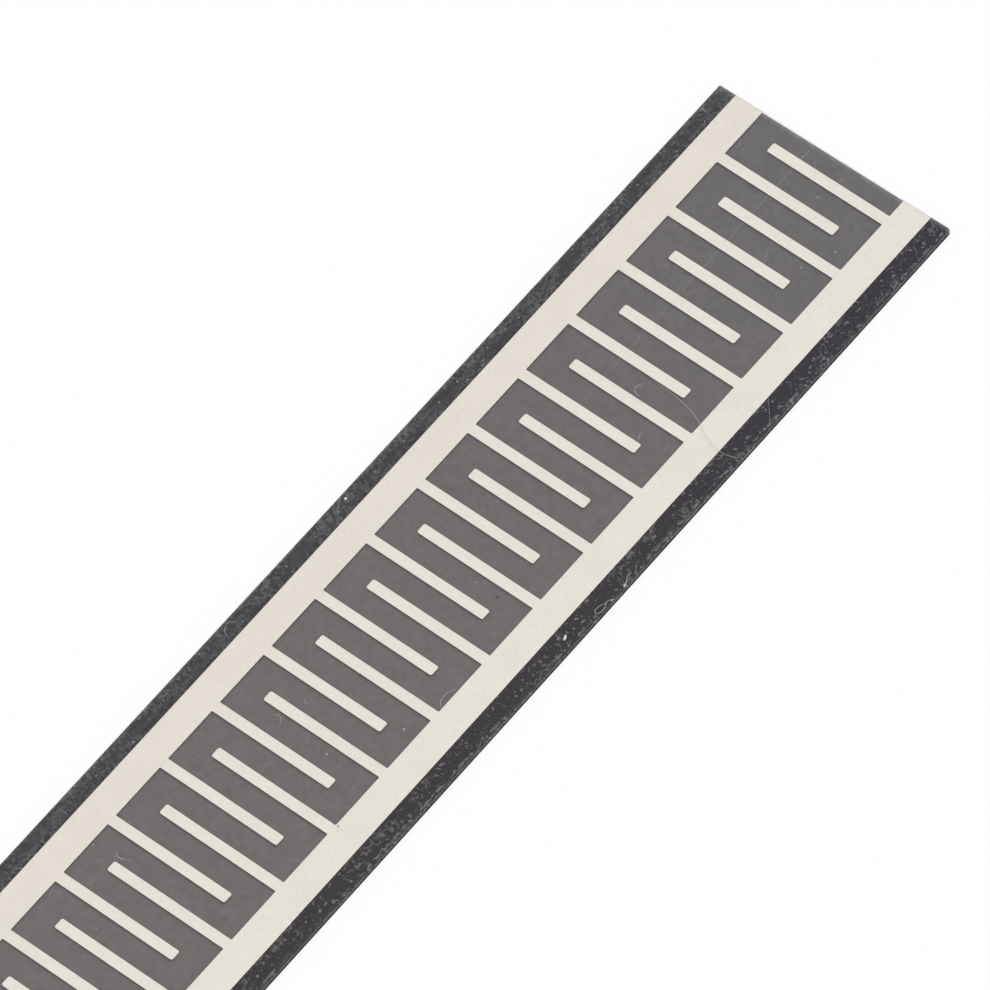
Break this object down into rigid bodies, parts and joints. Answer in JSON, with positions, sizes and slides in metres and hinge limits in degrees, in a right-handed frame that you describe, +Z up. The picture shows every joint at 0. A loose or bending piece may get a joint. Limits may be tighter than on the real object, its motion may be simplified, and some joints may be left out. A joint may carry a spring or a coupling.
{
  "type": "force sensing resistor",
  "caption": "Flat laminated strip: two interleaved silver combs under clear film, held just above a carbon layer, with a narrow tail and solder tabs at one end and a plain cut at the other.",
  "frame": {"origin": "bottom centre of the whole part's box, on the underside of the rear adhesive", "axes": "+X along the strip towards its cut end, +Y across it to the side with the narrower rim, +Z up out of the clear face"},
  "size_m": [0.1226, 0.0152, 0.0005],
  "materials": {
    "clear_film": "clear and glossy, lightly scratched, with specks of dust",
    "backing_film": "glossy, and dark all through from the carbon coat on its upper side",
    "silver_ink": "matte cream silver print with a fine grain",
    "carbon_ink": "matte grey print, slightly mottled",
    "spacer_adhesive": "dark and glossy where it wets both films, streaked along the strip",
    "rear_adhesive": "tacky and softly glossy, hazy over the dark film",
    "tinned_tab": "bright tin plating, faintly rolled along its length"
  },
  "bodies": {
    "root": {"rear_adhesive": "rear_adhesive", "bottom_film": "backing_film", "carbon_layer": "carbon_ink", "spacer_rail_left": "spacer_adhesive", "spacer_rail_right": "spacer_adhesive", "silver_comb_left": "silver_ink", "silver_comb_right": "silver_ink", "top_film": "clear_film", "solder_tab_left": "tinned_tab", "solder_tab_right": "tinned_tab"}
  },
  "joints": []
}
